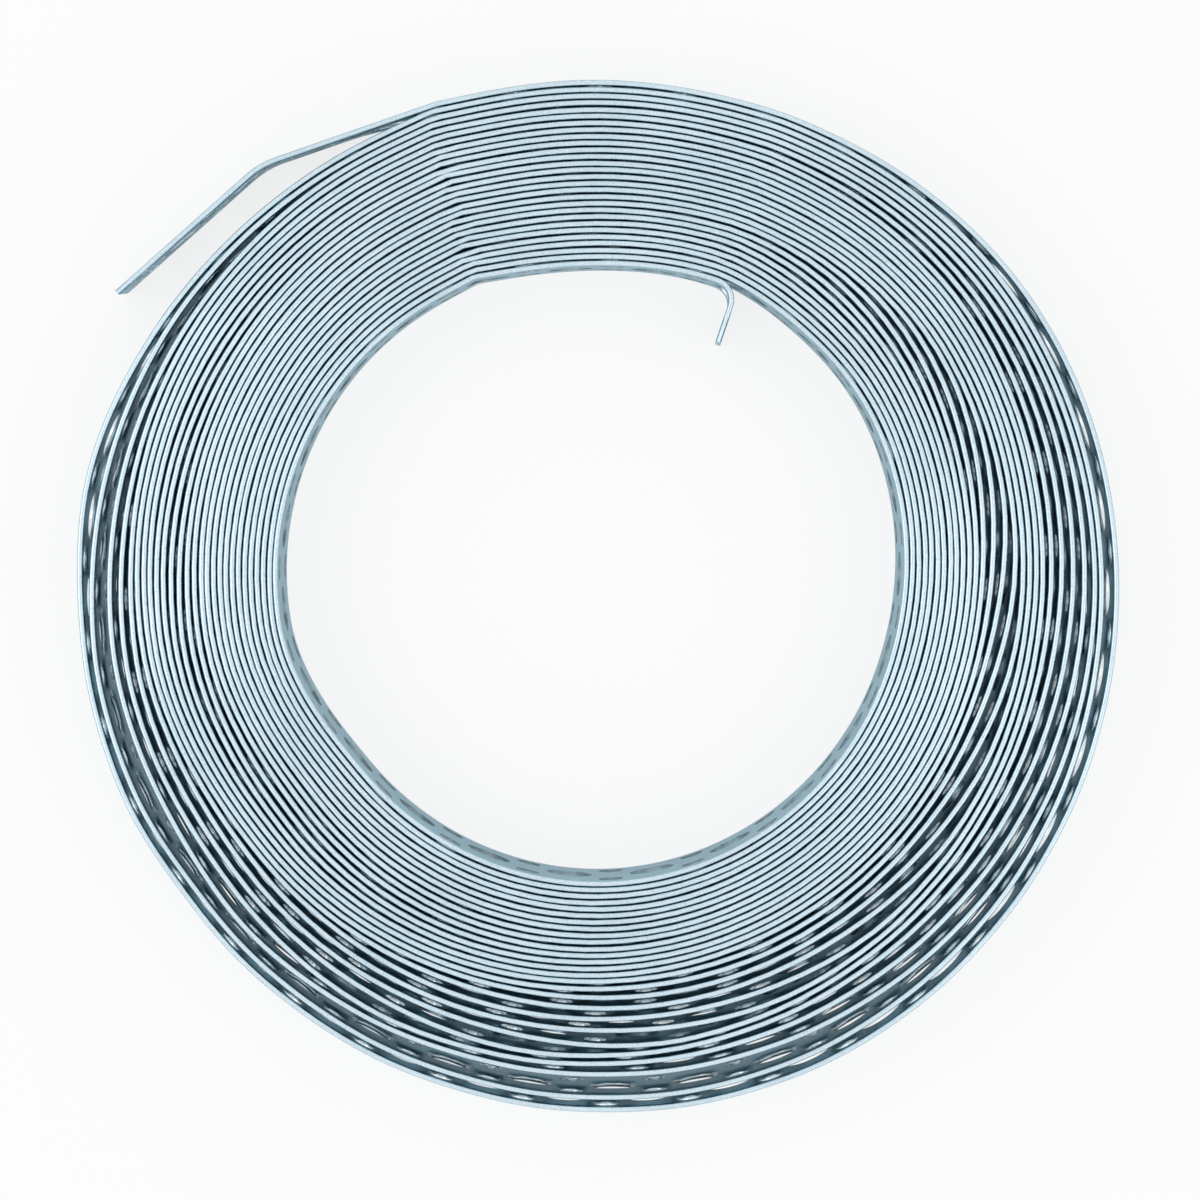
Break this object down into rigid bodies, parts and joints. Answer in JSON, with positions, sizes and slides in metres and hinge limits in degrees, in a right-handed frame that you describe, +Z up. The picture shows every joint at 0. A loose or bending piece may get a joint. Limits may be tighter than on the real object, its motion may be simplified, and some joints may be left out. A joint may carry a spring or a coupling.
{
  "type": "perforated steel strap",
  "caption": "Coil of thin galvanised steel strap with large holes on its middle line and pairs of small ones between them, cut to length and bent to hang or tie things.",
  "frame": {"origin": "middle of the coil's bounding box, on the floor under it", "axes": "+Z up along the coil's axis, +Y from the eye to the tight side where the strap leaves the coil, +X to the right as seen from above with +Y at the top"},
  "size_m": [0.1454, 0.1458, 0.017],
  "materials": {
    "zinc_strap": "bright galvanised, satin, with paler sheared edges"
  },
  "bodies": {
    "root": {"strap": "zinc_strap"}
  },
  "joints": []
}
